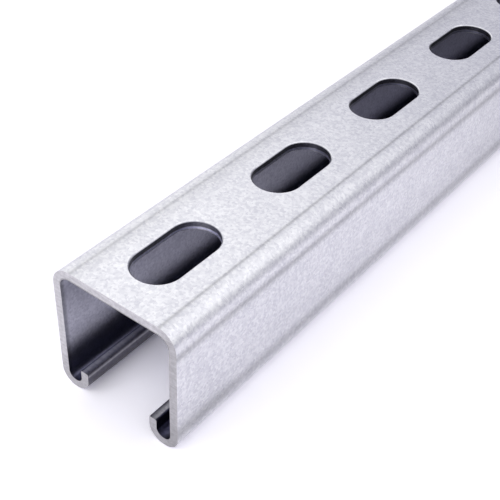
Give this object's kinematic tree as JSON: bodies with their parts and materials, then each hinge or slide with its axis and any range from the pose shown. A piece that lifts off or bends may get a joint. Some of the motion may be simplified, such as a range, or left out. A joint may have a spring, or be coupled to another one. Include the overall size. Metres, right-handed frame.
{
  "type": "slotted strut channel",
  "caption": "Straight length of C-shaped steel framing channel with rolled lips along its open side and a row of round-ended slots along its back.",
  "frame": {"origin": "centre of the length and width, on the plane under the two rolled flanges", "axes": "+Y along the channel from the front end shown in the picture to the far end, +Z out of the slotted back, +X across the channel"},
  "size_m": [0.0412, 1, 0.0413],
  "materials": {
    "galvanised_steel": "pre-galvanised sheet, fine pale spangle, satin"
  },
  "bodies": {
    "root": {"strut_channel": "galvanised_steel"}
  },
  "joints": []
}
